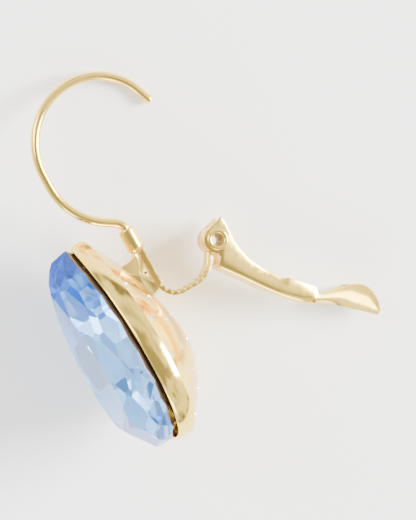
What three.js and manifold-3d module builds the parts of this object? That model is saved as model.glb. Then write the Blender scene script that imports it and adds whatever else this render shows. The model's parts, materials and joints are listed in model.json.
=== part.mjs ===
// Teardrop earring with a lever-back clasp, lying open on its side. Millimetres, +Z up.
//
// The pieces are made in the worn frame: X is the way the stone faces, Y runs across, along the hinge
// rivet, and Z is up. Its origin is the top of the teardrop, on the front edge of the rim. The last lines
// turn that frame into the lying pose, with the origin below the middle of the whole thing.

import * as THREE from 'three';
import { mergeVertices } from 'three/addons/utils/BufferGeometryUtils.js';
import Module from 'manifold-3d';

const wasm = await Module();
wasm.setup();

const radians = THREE.MathUtils.degToRad;

// ---------------------------------------------------------------- driving dimensions

const pear = { length: 19.5, width: 14.1, widest: 11.9, tipAngle: 54 };
const cup = {
  wall: 0.45, depth: 5.3, step: 0.22, dome: 1.8, ledge: 1.2, ledgeWidth: 0.5, band: { ends: 1.5, sides: 1.8 },
};
const pinHoles = { radius: 0.2, rows: 12 };
const pinRings = [
  { at: 0.93, every: 1 },
  { at: 0.66, every: 1 },
  { at: 0.33, every: 2 },
];

const crystal = { inset: 0.25, rise: 0.2, seat: 0.35, girdle: 1.9, table: 3.5, culet: -4.2 };
// Where along each half of the outline the facets sit, from the top, 0, to the bottom, 1.
const mains = [0.04, 0.25, 0.5, 0.72, 0.94];
const between = [0.14, 0.38, 0.62, 0.84];
const facetRows = [
  { front: 1, shares: [0.04], x: crystal.girdle + 0.15, slope: 38 },
  { front: 1, shares: [0.25, 0.5, 0.72], x: crystal.girdle, slope: 37 },
  { front: 1, shares: [0.94], x: crystal.girdle - 0.3, slope: 37 },
  { front: 1, shares: between, x: crystal.girdle + 0.1, slope: 41 },
  { front: 1, shares: between, x: crystal.girdle + 0.55, slope: 25 },
  { front: 1, shares: [...mains, ...between], x: 0.6, slope: 80 },
  { front: -1, shares: mains, x: crystal.seat, slope: 38 },
  { front: -1, shares: between, x: crystal.seat, slope: 42 },
];

const wire = { diameter: 0.82, foot: { x: -5.2, z: -2.5 } };
const wireRoute = [
  { straight: 1.45 },
  { radius: 1.0, turn: -57 },
  { straight: 1.1 },
  { radius: 6.0, turn: 57 },
  { straight: 1.1 },
  { radius: 5.95, turn: 92 },
  { radius: 5.5, turn: 68 },
  { straight: 1.3 },
];

const sleeve = { radius: 0.78, top: -1.05, bottom: -3.4, bore: 1.6, clearance: 0.05 };

const bracket = { thickness: 1.1, hole: 0.17 };

const strap = { start: { x: -5.4, z: -3.4 }, width: 1.5, thickness: 0.5, notch: 0.13 };
const strapRoute = [
  { straight: 3.2 },
  { radius: 1.6, turn: -90 },
  { straight: 1.15 },
  { radius: 2.6, turn: -60 },
  { straight: 0.55 },
];

const hinge = { x: -11.67, z: -5.75 };
const knuckle = { radius: 1.22, width: 1.9 };
const rivet = { shank: 0.68, bore: 0.54, flare: 0.94, flareWidth: 0.2, clearance: 0.06 };

const lever = { openAngle: 132.2, width: 2.84, wall: 0.33, corner: 0.55 };
const channelSections = [
  { along: -1.6, back: 2.35, width: 2.84 },
  { along: 0.7, back: 2.38, width: 2.84 },
  { along: 3.0, back: 2.56, width: 2.8 },
  { along: 5.0, back: 2.76, width: 2.6 },
  { along: 7.0, back: 2.9, width: 2.4 },
  { along: 9.0, back: 2.82, width: 2.1 },
  { along: 10.4, back: 2.5, width: 1.7 },
];
const leafSections = [
  { along: 9.9, spine: 2.5, edge: 1.7, reach: 0.75 },
  { along: 11.0, spine: 2.12, edge: 1.4, reach: 0.85 },
  { along: 11.9, spine: 1.95, edge: 0.6, reach: 1.35 },
  { along: 12.6, spine: 1.86, edge: 0.05, reach: 1.65 },
  { along: 13.3, spine: 1.79, edge: -0.28, reach: 1.75 },
  { along: 14.0, spine: 1.73, edge: -0.34, reach: 1.72 },
  { along: 14.7, spine: 1.66, edge: -0.12, reach: 1.5 },
  { along: 15.4, spine: 1.59, edge: 0.3, reach: 1.1 },
  { along: 15.9, spine: 1.53, edge: 0.75, reach: 0.7 },
  { along: 16.2, spine: 1.47, edge: 1.1, reach: 0.35 },
];
const leafThickness = 0.3;

// The lying pose: how far the worn frame is turned about the row's Z, X and Y after it is laid down.
const lying = { heading: 28.6, pitch: -9.0, roll: 17.4 };

const ringPoints = 44;
const roundSides = 24;

// ---------------------------------------------------------------- materials

const gilt = new THREE.MeshStandardMaterial({ color: 0xe6c680, roughness: 0.14, metalness: 1 });
const blueCrystal = new THREE.MeshStandardMaterial({ color: 0x8fbfe6, roughness: 0.03, metalness: 0 });

// ---------------------------------------------------------------- solids from geometries and back

function solidOf(geometry) {
  const bare = geometry.clone();
  bare.deleteAttribute('normal');
  bare.deleteAttribute('uv');
  const merged = mergeVertices(bare, 1e-5);
  return new wasm.Manifold(new wasm.Mesh({
    numProp: 3,
    vertProperties: new Float32Array(merged.attributes.position.array),
    triVerts: new Uint32Array(merged.index.array),
  }));
}

function geometryOf(solid) {
  const mesh = solid.getMesh();
  const geometry = new THREE.BufferGeometry();
  geometry.setAttribute('position', new THREE.BufferAttribute(new Float32Array(mesh.vertProperties), 3));
  geometry.setIndex(new THREE.BufferAttribute(new Uint32Array(mesh.triVerts), 1));
  geometry.computeVertexNormals();
  return geometry;
}

// The side walls of a skin: rings of points that all run the same way round, joined ring to ring.
function wallIndex(rings) {
  const count = rings[0].length;
  const index = [];
  for (let r = 0; r + 1 < rings.length; r += 1) {
    for (let i = 0; i < count; i += 1) {
      const a = r * count + i;
      const b = r * count + ((i + 1) % count);
      index.push(a, b, b + count, a, b + count, a + count);
    }
  }
  return index;
}

function indexed(points, index) {
  const geometry = new THREE.BufferGeometry();
  const positions = points.flatMap((p) => [p.x, p.y, p.z]);
  geometry.setAttribute('position', new THREE.Float32BufferAttribute(positions, 3));
  geometry.setIndex(index);
  return geometry;
}

// A closed skin over rings, with a fan at each end.
function skin(rings) {
  const count = rings[0].length;
  const points = rings.flat();
  const index = wallIndex(rings);
  const closeEnd = (ring, flip) => {
    const middle = new THREE.Vector3();
    rings[ring].forEach((p) => middle.addScaledVector(p, 1 / count));
    const centre = points.push(middle) - 1;
    for (let i = 0; i < count; i += 1) {
      const a = ring * count + i;
      const b = ring * count + ((i + 1) % count);
      index.push(...(flip ? [centre, b, a] : [centre, a, b]));
    }
  };
  closeEnd(0, true);
  closeEnd(rings.length - 1, false);
  return indexed(points, index);
}

// A closed skin over bent sheet: the first half of each ring is its outer line, the rest the inner line back.
function strip(rings) {
  const count = rings[0].length;
  const index = wallIndex(rings);
  const last = (rings.length - 1) * count;
  for (let i = 0; i + 1 < count / 2; i += 1) {
    const [a, b, c, d] = [i, i + 1, count - 2 - i, count - 1 - i];
    index.push(a, c, b, a, d, c);
    index.push(last + a, last + b, last + c, last + a, last + c, last + d);
  }
  return indexed(rings.flat(), index);
}

// A side outline in the XZ plane, spread evenly to both sides of Y = 0.
function plate(shape, thickness, curveSegments = 12) {
  const geometry = new THREE.ExtrudeGeometry(shape, {
    depth: thickness, bevelEnabled: false, curveSegments,
  });
  geometry.translate(0, 0, -thickness / 2);
  geometry.rotateX(Math.PI / 2);
  return geometry;
}

// A cylinder along Y about the point (x, z).
function crossPin(radius, width, x, z) {
  const geometry = new THREE.CylinderGeometry(radius, radius, width, roundSides);
  geometry.translate(x, 0, z);
  return geometry;
}

// A route in the XZ plane made of straights and arcs. A positive turn bends from X towards Z.
function route(start, heading, steps, arcStep = 12) {
  const points = [new THREE.Vector3(start.x, 0, start.z)];
  let angle = radians(heading);
  const go = (length) => {
    const last = points.at(-1);
    points.push(new THREE.Vector3(last.x + length * Math.cos(angle), 0, last.z + length * Math.sin(angle)));
  };
  for (const step of steps) {
    if (step.straight) {
      go(step.straight);
      continue;
    }
    const count = Math.max(2, Math.round(Math.abs(step.turn) / arcStep));
    const slice = radians(step.turn) / count;
    for (let i = 0; i < count; i += 1) {
      angle += slice / 2;
      go(2 * step.radius * Math.sin(Math.abs(slice) / 2));
      angle += slice / 2;
    }
  }
  return points;
}

// ---------------------------------------------------------------- the teardrop outline

// Half of the outline, from the top to the bottom, as a chain of two Bezier curves.
function pearHalf(inset) {
  const tip = radians(pear.tipAngle);
  const half = pear.width / 2 - inset;
  const top = -inset / Math.sin(tip);
  const bottom = -pear.length + inset;
  const widest = -pear.widest;
  const flank = 6.4;
  const shoulder = 4.2;
  const round = 0.5523;
  const path = new THREE.CurvePath();
  path.add(new THREE.CubicBezierCurve(
    new THREE.Vector2(0, top),
    new THREE.Vector2(flank * Math.sin(tip), top - flank * Math.cos(tip)),
    new THREE.Vector2(half, widest + shoulder),
    new THREE.Vector2(half, widest),
  ));
  path.add(new THREE.CubicBezierCurve(
    new THREE.Vector2(half, widest),
    new THREE.Vector2(half, widest + (bottom - widest) * round),
    new THREE.Vector2(half * round, bottom),
    new THREE.Vector2(0, bottom),
  ));
  return path;
}

// The whole outline as points (y, z), anticlockwise seen from the front, starting at the top.
function pearOutline(inset, count = ringPoints) {
  const half = pearHalf(inset);
  const right = [];
  for (let i = 0; i <= count / 2; i += 1) right.push(half.getPointAt((2 * i) / count));
  const left = right.slice(1, -1).reverse().map((p) => new THREE.Vector2(-p.x, p.y));
  return [...right, ...left].map((p) => new THREE.Vector2(-p.x, p.y));
}

// A flat ring of the cup at x.
function pearRing(x, inset) {
  return pearOutline(inset).map((p) => new THREE.Vector3(x, p.x, p.y));
}

// The band is deepest at the sides and shallowest at the top and bottom. y is the distance off the middle.
const bandDepth = (y) => {
  const { ends, sides } = cup.band;
  return ends + (sides - ends) * Math.min(1, (2 * Math.abs(y)) / pear.width) ** 1.5;
};

// The back is domed from the band's edge, k = 1, to the deepest point, k = 0. y is taken at the edge.
const domeDepth = (k, y) => bandDepth(y) + (cup.depth - bandDepth(y)) * (1 - k ** cup.dome);

// A ring of the dome, which stands in from the outline by the inset and forward by the wall.
function domeRing(k, inset, forward = 0) {
  return pearOutline(inset).map((p) => new THREE.Vector3(
    forward - domeDepth(k, p.x),
    p.x * k,
    -pear.widest + (p.y + pear.widest) * k,
  ));
}

// ---------------------------------------------------------------- the crystal

// Cut from a prism by flat planes, as a stone is: table, then rows of facets round the crown and the back.
function makeStone() {
  const outline = pearOutline(crystal.inset, 32);
  const prism = new THREE.ExtrudeGeometry(new THREE.Shape(outline), {
    depth: crystal.table - crystal.culet, bevelEnabled: false,
  });
  prism.translate(0, 0, crystal.culet);
  // Extrusion depth becomes X, outline x becomes Y, outline y becomes Z.
  prism.applyMatrix4(new THREE.Matrix4().makeBasis(
    new THREE.Vector3(0, 1, 0), new THREE.Vector3(0, 0, 1), new THREE.Vector3(1, 0, 0),
  ));
  let stone = solidOf(prism);

  const half = pearHalf(crystal.inset);
  // A facet plane leans back by slope degrees from the rim plane and meets the outline at height x.
  const cutFacet = (share, side, x, slope, front) => {
    const at = half.getPointAt(share);
    const along = half.getTangentAt(share);
    const outward = new THREE.Vector3(0, -along.y * side, along.x);
    const normal = new THREE.Vector3(front * Math.cos(radians(slope)), 0, 0)
      .addScaledVector(outward, Math.sin(radians(slope)));
    const point = new THREE.Vector3(x, at.x * side, at.y);
    stone = stone.trimByPlane(normal.clone().negate().toArray(), -normal.dot(point));
  };
  for (const row of facetRows) {
    for (const share of row.shares) {
      for (const side of [1, -1]) cutFacet(share, side, row.x, row.slope, row.front);
    }
  }
  return geometryOf(stone.translate(0, 0, crystal.rise));
}

// ---------------------------------------------------------------- the setting

const insideRings = () => [0.95, 0.8, 0.6, 0.35, 0.12].map((k) => (
  domeRing(k, cup.wall + cup.ledgeWidth, cup.wall)
));

function makeCup() {
  const outside = [0.12, 0.3, 0.48, 0.66, 0.82, 0.93, 1];
  const rings = [
    ...outside.map((k) => domeRing(k, cup.step)),
    domeRing(1, 0.04),
    domeRing(1, 0, 0.14),
    pearRing(-0.15, 0),
    pearRing(0, 0.12),
    pearRing(0, cup.wall - 0.06),
    pearRing(-0.08, cup.wall),
    pearRing(-cup.ledge, cup.wall),
    pearRing(-cup.ledge, cup.wall + cup.ledgeWidth),
    ...insideRings(),
  ];
  return solidOf(skin(rings));
}

// The point of the outline in a direction from the middle of the round end.
function outlineAt(angle) {
  const points = pearOutline(cup.step, 240);
  const miss = (p) => {
    const off = Math.atan2(p.y + pear.widest, p.x) - angle;
    return Math.abs(Math.atan2(Math.sin(off), Math.cos(off)));
  };
  return points.reduce((best, p) => (miss(p) < miss(best) ? p : best));
}

function makePinHoles() {
  const holes = [];
  for (const ring of pinRings) {
    for (let row = 0; row < pinHoles.rows; row += ring.every) {
      const angle = (2 * Math.PI * row) / pinHoles.rows;
      const underBracket = ring.at > 0.5 && Math.abs(angle - Math.PI / 2) < 0.1;
      if (underBracket) continue;
      const edge = outlineAt(angle);
      const hole = new THREE.CylinderGeometry(pinHoles.radius, pinHoles.radius, 2.4, 8);
      hole.rotateZ(Math.PI / 2);
      hole.translate(
        -domeDepth(ring.at, edge.x),
        edge.x * ring.at,
        -pear.widest + (edge.y + pear.widest) * ring.at,
      );
      holes.push(solidOf(hole));
    }
  }
  return wasm.Manifold.union(holes);
}

// The shield-shaped plate that joins the sleeve to the back of the cup, with a small pin hole.
function makeBracket() {
  const shape = new THREE.Shape();
  shape.moveTo(-4.72, -3.2);
  shape.quadraticCurveTo(-4.5, -3.75, -3.3, -3.72);
  shape.lineTo(-2.3, -3.9);
  shape.lineTo(-3.6, -7.3);
  shape.lineTo(-4.5, -7.25);
  shape.lineTo(-5.4, -6.9);
  shape.lineTo(-5.4, -4.2);
  shape.quadraticCurveTo(-5.5, -3.7, -5.6, -3.2);
  shape.closePath();
  const hole = crossPin(bracket.hole, 3, -4.75, -5.2);
  return solidOf(plate(shape, bracket.thickness)).subtract(solidOf(hole));
}

function makeSleeve() {
  const { radius, top, bottom, bore, clearance } = sleeve;
  const inner = wire.diameter / 2 + clearance;
  const profile = [
    [0, bottom], [0.42, bottom + 0.05], [radius - 0.06, bottom + 0.32], [radius, bottom + 0.5],
    [radius, top - 0.08], [radius - 0.06, top], [inner, top], [inner, top - bore], [0, top - bore],
  ].map(([r, z]) => new THREE.Vector2(r, z));
  const geometry = new THREE.LatheGeometry(profile, roundSides);
  geometry.rotateX(Math.PI / 2);
  return solidOf(geometry.translate(wire.foot.x, 0, 0));
}

// The strap is a ribbon along its route, with a row of notches filed across its upper face.
function makeStrap() {
  const centre = route(strap.start, 270, strapRoute, 7.5);
  const notched = centre.length - 4;
  const rings = centre.map((p, i) => {
    const before = centre[Math.max(0, i - 1)];
    const after = centre[Math.min(centre.length - 1, i + 1)];
    const along = after.clone().sub(before).normalize();
    const up = new THREE.Vector3(along.z, 0, -along.x);
    const cut = i > 2 && i < notched && i % 2 === 0 ? strap.notch : 0;
    const high = strap.thickness / 2 - cut;
    const low = -strap.thickness / 2;
    const side = strap.width / 2;
    return [[-side, low], [-side, high], [side, high], [side, low]].map(([y, h]) => (
      p.clone().addScaledVector(up, h).setY(y)
    ));
  });
  return solidOf(skin(rings));
}

function makeKnuckle() {
  return solidOf(crossPin(knuckle.radius, knuckle.width, hinge.x, hinge.z));
}

function makeSetting() {
  const bore = solidOf(crossPin(rivet.shank + rivet.clearance, knuckle.width + 1, hinge.x, hinge.z));
  const cavity = solidOf(skin([
    pearRing(crystal.table, cup.wall),
    pearRing(-cup.ledge, cup.wall),
    pearRing(-cup.ledge - 0.05, cup.wall + cup.ledgeWidth),
    ...insideRings(),
  ].reverse()));
  const soldered = makeBracket().add(makeSleeve()).add(makeStrap()).add(makeKnuckle()).subtract(bore);
  return geometryOf(makeCup().subtract(makePinHoles()).add(soldered.subtract(cavity)));
}

// ---------------------------------------------------------------- the ear wire

function makeEarHook() {
  const centre = route(wire.foot, 90, wireRoute);
  const side = new THREE.Vector3(0, 1, 0);
  const sides = 12;
  const rings = centre.map((p, i) => {
    const before = centre[Math.max(0, i - 1)];
    const after = centre[Math.min(centre.length - 1, i + 1)];
    const along = after.clone().sub(before).normalize();
    const out = new THREE.Vector3().crossVectors(side, along);
    return Array.from({ length: sides }, (_, k) => {
      const angle = (2 * Math.PI * k) / sides;
      return p.clone()
        .addScaledVector(side, (wire.diameter / 2) * Math.sin(angle))
        .addScaledVector(out, (wire.diameter / 2) * Math.cos(angle));
    });
  });
  return skin(rings);
}

// ---------------------------------------------------------------- the hinge rivet

function makeRivet() {
  const reach = lever.width / 2 + rivet.clearance;
  const end = reach + rivet.flareWidth;
  const { shank, bore, flare } = rivet;
  const profile = [
    [bore, -end + 0.06], [bore + 0.08, -end], [flare - 0.06, -end], [flare, -end + 0.06], [flare, -reach],
    [shank, -reach], [shank, reach],
    [flare, reach], [flare, end - 0.06], [flare - 0.06, end], [bore + 0.08, end], [bore, end - 0.06],
    [bore, -end + 0.06],
  ].map(([r, y]) => new THREE.Vector2(r, y));
  const geometry = new THREE.LatheGeometry(profile, roundSides);
  return geometryOf(solidOf(geometry));
}

// ---------------------------------------------------------------- the lever

// In the lever's own frame X runs from the rivet to the leaf, Y across, and the channel opens to -Z.
function makeChannel() {
  const top = -2.6;
  const arc = 4;
  const rings = channelSections.map(({ along, back, width }) => {
    const outline = (half, depth, corner) => {
      const right = [[half, top]];
      for (let i = 0; i <= arc; i += 1) {
        const angle = (i / arc) * (Math.PI / 2);
        right.push([
          half - corner + corner * Math.cos(angle),
          depth - corner + corner * Math.sin(angle),
        ]);
      }
      return [...right, ...right.slice().reverse().map(([y, z]) => [-y, z])];
    };
    const outer = outline(width / 2, back, lever.corner);
    const inner = outline(width / 2 - lever.wall, back - lever.wall, lever.corner - 0.2);
    return [...outer, ...inner.reverse()].map(([y, z]) => new THREE.Vector3(along, y, z));
  });
  return solidOf(strip(rings));
}

// The side outline of the channel: round ears with a pointed corner, then walls that fall away.
function makeSideOutline() {
  const shape = new THREE.Shape();
  shape.moveTo(-0.35, -2.0);
  shape.lineTo(0.1, -1.7);
  shape.bezierCurveTo(1.2, -0.7, 2.2, 1.25, 6.9, 1.3);
  shape.lineTo(7.1, 1.12);
  shape.lineTo(9.9, 1.08);
  shape.lineTo(10.35, 1.7);
  shape.lineTo(10.35, 3.6);
  shape.lineTo(0.85, 3.6);
  shape.lineTo(0.8, 1.35);
  shape.absarc(0, 0, 1.2, radians(70), radians(215), false);
  shape.closePath();
  return solidOf(plate(shape, 6));
}

// A folded bridge closes the channel just before the neck.
function makeBridge() {
  const shape = new THREE.Shape();
  shape.moveTo(7.1, 1.12);
  shape.lineTo(9.9, 1.08);
  shape.lineTo(10.3, 1.7);
  shape.lineTo(10.3, 2.45);
  shape.lineTo(9.95, 2.5);
  shape.lineTo(9.75, 1.45);
  shape.lineTo(7.1, 1.45);
  shape.closePath();
  return solidOf(plate(shape, 1.75));
}

// A leaf folded along its straight spine, hollow side towards the ear wire.
function makeLeaf() {
  const rings = leafSections.map(({ along, spine, edge, reach }) => {
    const rise = spine - edge;
    const wing = Math.hypot(rise, reach);
    const [ny, nz] = [rise / wing, reach / wing];
    const at = (y, z) => new THREE.Vector3(along, y, z);
    const inY = reach - leafThickness * ny * 0.6;
    const inZ = edge - leafThickness * nz * 0.6;
    const belly = 0.1 * reach;
    const mid = (y, z, bulge) => at(y / 2 + Math.sign(y) * bulge * ny, z + bulge * nz);
    const valley = spine - Math.min(leafThickness * (wing / reach), 0.75 * rise + 0.12);
    return [
      at(reach, edge),
      mid(reach, (edge + spine) / 2, belly),
      at(0, spine),
      mid(-reach, (edge + spine) / 2, belly),
      at(-reach, edge),
      at(-inY, inZ),
      mid(-inY, (inZ + valley) / 2, belly),
      at(0, valley),
      mid(inY, (inZ + valley) / 2, belly),
      at(inY, inZ),
    ];
  });
  return solidOf(strip(rings));
}

function makeLever() {
  const holes = solidOf(crossPin(rivet.shank + rivet.clearance, 6, 0, 0));
  const walls = makeChannel().intersect(makeSideOutline());
  return geometryOf(walls.add(makeBridge()).add(makeLeaf()).subtract(holes));
}

// ---------------------------------------------------------------- the earring

function piece(name, geometry, material) {
  const mesh = new THREE.Mesh(geometry, material);
  mesh.name = name;
  return mesh;
}

const worn = new THREE.Group();
worn.add(piece('stone', makeStone(), blueCrystal));
worn.add(piece('setting', makeSetting(), gilt));
worn.add(piece('ear_hook', makeEarHook(), gilt));

const hingeGroup = new THREE.Group();
hingeGroup.position.set(hinge.x, 0, hinge.z);
hingeGroup.add(piece('hinge_rivet', makeRivet(), gilt));
const leverMesh = piece('lever', makeLever(), gilt);
leverMesh.rotation.y = radians(lever.openAngle);
hingeGroup.add(leverMesh);
worn.add(hingeGroup);

// Lay the worn frame down: Y up, Z away, then turn it into the pose it comes to rest in.
const turn = (axis, degrees) => new THREE.Quaternion().setFromAxisAngle(axis, radians(degrees));
const layDown = new THREE.Quaternion().setFromRotationMatrix(new THREE.Matrix4().makeBasis(
  new THREE.Vector3(-1, 0, 0), new THREE.Vector3(0, 0, 1), new THREE.Vector3(0, 1, 0),
));
worn.quaternion
  .copy(turn(new THREE.Vector3(0, 0, 1), lying.heading))
  .multiply(turn(new THREE.Vector3(1, 0, 0), lying.pitch))
  .multiply(turn(new THREE.Vector3(0, 1, 0), lying.roll))
  .multiply(layDown);

const earring = new THREE.Group();
earring.add(worn);
const box = new THREE.Box3().setFromObject(earring, true);
const middle = box.getCenter(new THREE.Vector3());
worn.position.set(-middle.x, -middle.y, -box.min.z);

export default earring;
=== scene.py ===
"""Teardrop earring with a lever-back clasp: the looks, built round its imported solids."""

import json
import math

import bmesh
import bpy
from bpy.props import FloatProperty, FloatVectorProperty, PointerProperty
from mathutils import Matrix, Vector
from mathutils.kdtree import KDTree


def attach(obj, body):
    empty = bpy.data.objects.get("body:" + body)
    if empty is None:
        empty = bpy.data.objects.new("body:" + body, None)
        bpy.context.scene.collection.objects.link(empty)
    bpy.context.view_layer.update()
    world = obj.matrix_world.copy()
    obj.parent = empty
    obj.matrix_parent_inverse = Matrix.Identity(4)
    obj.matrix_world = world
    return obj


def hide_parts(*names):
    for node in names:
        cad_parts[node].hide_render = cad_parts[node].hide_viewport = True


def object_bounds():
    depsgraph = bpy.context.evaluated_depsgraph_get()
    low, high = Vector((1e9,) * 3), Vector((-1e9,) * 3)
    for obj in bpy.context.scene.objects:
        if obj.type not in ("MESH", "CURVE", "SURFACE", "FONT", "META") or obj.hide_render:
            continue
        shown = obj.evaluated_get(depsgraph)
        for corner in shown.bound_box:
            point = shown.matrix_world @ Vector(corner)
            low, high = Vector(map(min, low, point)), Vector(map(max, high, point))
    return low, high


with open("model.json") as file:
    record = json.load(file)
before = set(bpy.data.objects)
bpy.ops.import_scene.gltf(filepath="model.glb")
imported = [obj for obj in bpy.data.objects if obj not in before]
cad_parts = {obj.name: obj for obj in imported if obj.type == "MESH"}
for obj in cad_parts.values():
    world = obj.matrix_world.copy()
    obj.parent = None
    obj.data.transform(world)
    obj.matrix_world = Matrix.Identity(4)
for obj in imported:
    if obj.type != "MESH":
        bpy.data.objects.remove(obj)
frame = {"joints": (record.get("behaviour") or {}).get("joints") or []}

bl_info = {
    "name": "Teardrop earring",
    "version": (1, 0, 0),
    "blender": (4, 5, 0),
    "location": "3D View > Sidebar > Earring",
    "description": "Builds the stone, setting, ear wire and lever clasp of a teardrop earring",
    "category": "Object",
}

CAD_BOX = [list(corner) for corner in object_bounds()]

# The worn frame, in millimetres: X is the way the stone faces, Y runs across, along the hinge rivet, and
# Z is up. Its origin is the top of the teardrop, on the front edge of the rim. The pieces are shaped in it.
HINGE = Vector((-11.67, 0.0, -5.75))
# How the earring is turned as it lies, and how far its lever stands open.
HEADING, PITCH, ROLL = math.radians(28.6), math.radians(-9.0), math.radians(17.4)
LEVER_OPEN = math.radians(132.2)

# The teardrop over its rim, how deep the band is at its middle line and at its widest, and the dome's depth.
PEAR = {"length": 19.5, "width": 14.1, "widest": 11.9, "tip_angle": 54.0}
BAND = {"middle": 1.5, "sides": 1.8, "bulge": 0.15}
DOME_DEPTH = 5.3
# The dome starts this far inside the teardrop, which leaves the crease between it and the band.
DOME_STEP = 0.22
# How far behind the rim's front the sleeve and the foot of the ear wire stand.
SLEEVE_BACK = 5.2


def worn_to_row():
    """The matrix from the worn frame in millimetres to the row's frame in metres."""
    lay_down = Matrix(((-1, 0, 0), (0, 0, 1), (0, 1, 0)))
    turned = Matrix.Rotation(HEADING, 3, "Z") @ Matrix.Rotation(PITCH, 3, "X")
    turned = (turned @ Matrix.Rotation(ROLL, 3, "Y") @ lay_down) * 0.001
    joint = next(j for j in frame["joints"] if j["name"] == "lever_hinge")
    return Matrix.Translation(Vector(joint["pos_m"]) - turned @ HINGE) @ turned.to_4x4()


WORN = worn_to_row()


# ---------------------------------------------------------------- sizes and colours a user may change


class MetalSettings(bpy.types.PropertyGroup):
    gilding: FloatVectorProperty(
        name="Gilding", description="Colour of the plated metal", subtype="COLOR", size=3, min=0, max=1,
        default=(1.0, 0.685, 0.13),
    )
    polish: FloatProperty(
        name="Roughness", description="How soft the metal's reflections are", default=0.13, min=0, max=1,
        subtype="FACTOR",
    )


class CrystalSettings(bpy.types.PropertyGroup):
    tint: FloatVectorProperty(
        name="Tint", description="Colour of the clear crystal", subtype="COLOR", size=3, min=0, max=1,
        default=(0.6, 0.82, 1.0),
    )
    foil: FloatVectorProperty(
        name="Foil", description="Colour of the mirror foil on the back facets", subtype="COLOR", size=3,
        min=0, max=1, default=(0.56, 0.77, 1.0),
    )
    # Painted light: the colour that the foil's inner side gives off.
    painted_glow: FloatVectorProperty(
        name="Glow", description="Colour of the light that the foil gathers inside the crystal",
        subtype="COLOR", size=3, min=0, max=1, default=(0.1, 0.42, 1.0),
    )
    index: FloatProperty(
        name="Refractive index", description="How strongly the crystal bends light", default=1.52, min=1,
        max=2.5,
    )


class PartSettings(bpy.types.PropertyGroup):
    wire: FloatProperty(
        name="Ear wire", description="Thickness of the ear wire", default=0.82, min=0.5, max=1.2,
    )
    pin_hole: FloatProperty(
        name="Pin hole radius", description="Radius of the holes pierced in the back", default=0.2, min=0.05,
        max=0.3,
    )
    notch: FloatProperty(
        name="Notch depth", description="Depth of the notches filed across the strap", default=0.15, min=0,
        max=0.2,
    )


class StageSettings(bpy.types.PropertyGroup):
    floor: FloatVectorProperty(
        name="Floor", description="Colour of the surface it lies on", subtype="COLOR", size=3, min=0, max=1,
        default=(0.92, 0.917, 0.91),
    )


# ---------------------------------------------------------------- mesh helpers


def new_piece(name, mesh, body, node, materials, sharp, place=None):
    """A piece from a mesh in the worn frame, or in a place in it, riding on a body and standing for a node.

    It is smooth but for edges over the sharp angle, or flat all over where that is None.
    """
    mesh.transform(WORN @ place if place else WORN)
    for material in materials:
        mesh.materials.append(material)
    if sharp is not None:
        mesh.shade_smooth()
        mesh.set_sharp_from_angle(angle=math.radians(sharp))
    piece = bpy.data.objects.new(name, mesh)
    bpy.context.scene.collection.objects.link(piece)
    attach(piece, body)
    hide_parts(node)
    return piece


def mesh_of(name, points, faces):
    """A mesh with points in one place joined and its faces turned outwards."""
    mesh = bpy.data.meshes.new(name)
    mesh.from_pydata([tuple(p) for p in points], [], faces)
    skin = bmesh.new()
    skin.from_mesh(mesh)
    bmesh.ops.remove_doubles(skin, verts=skin.verts, dist=1e-4)
    bmesh.ops.recalc_face_normals(skin, faces=skin.faces)
    skin.to_mesh(mesh)
    skin.free()
    return mesh


def walls_between(rings):
    """The quads, as numbers of points, that join each ring to the next."""
    count = len(rings[0])
    faces = []
    for r in range(len(rings) - 1):
        a, b = r * count, (r + 1) * count
        for i in range(count):
            j = (i + 1) % count
            faces.append((a + i, a + j, b + j, b + i))
    return faces


def loft(name, rings):
    """A skin over rings of points, capped at both ends."""
    count = len(rings[0])
    last = (len(rings) - 1) * count
    caps = [tuple(range(count - 1, -1, -1)), tuple(range(last, last + count))]
    return mesh_of(name, [p for ring in rings for p in ring], walls_between(rings) + caps)


def lathe(name, profile, steps=64):
    """A profile of (radius, height) turned about Z. A profile that leaves the axis closes on itself."""
    closed = profile[0][0] > 1e-6
    rings = []
    for k in range(steps):
        angle = 2 * math.pi * k / steps
        rings.append([Vector((r * math.cos(angle), r * math.sin(angle), z)) for r, z in profile])
    count = len(profile)
    faces = []
    for k in range(steps):
        a, b = k * count, ((k + 1) % steps) * count
        for i in range(count if closed else count - 1):
            j = (i + 1) % count
            faces.append((a + i, a + j, b + j, b + i))
    return mesh_of(name, [p for ring in rings for p in ring], faces)


def plate(name, outline, thickness):
    """A side outline of (x, z) points spread evenly to both sides of Y = 0."""
    rings = [[Vector((x, y, z)) for x, z in outline] for y in (-thickness / 2, thickness / 2)]
    return loft(name, rings)


def cross_pin(radius, width, x, z, steps=64):
    """A round bar that runs across, along Y."""
    outline = [
        (x + radius * math.cos(2 * math.pi * k / steps), z + radius * math.sin(2 * math.pi * k / steps))
        for k in range(steps)
    ]
    return plate("pin", outline, width)


def combine(mesh, other, how):
    """The mesh cut, joined or crossed with another, which is used up."""
    pair = [bpy.data.objects.new("work", m) for m in (mesh, other)]
    for o in pair:
        bpy.context.scene.collection.objects.link(o)
    cut = pair[0].modifiers.new("Boolean", "BOOLEAN")
    cut.operation = how
    cut.solver = "EXACT"
    cut.object = pair[1]
    return baked(pair[0], mesh.name, pair[1:])


def baked(work, name, others=()):
    """The work object's mesh with its modifiers applied. The work objects are removed."""
    bpy.context.view_layer.update()
    result = bpy.data.meshes.new_from_object(work.evaluated_get(bpy.context.evaluated_depsgraph_get()))
    for o in (work, *others):
        old = o.data
        bpy.data.objects.remove(o)
        bpy.data.meshes.remove(old)
    result.name = name
    return result


def softened(mesh, width, angle):
    """The mesh with its edges over an angle rounded over."""
    work = bpy.data.objects.new("work", mesh)
    bpy.context.scene.collection.objects.link(work)
    bevel = work.modifiers.new("Bevel", "BEVEL")
    bevel.width = width
    bevel.segments = 2
    bevel.limit_method = "ANGLE"
    bevel.angle_limit = math.radians(angle)
    bevel.use_clamp_overlap = True
    return baked(work, mesh.name)


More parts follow.
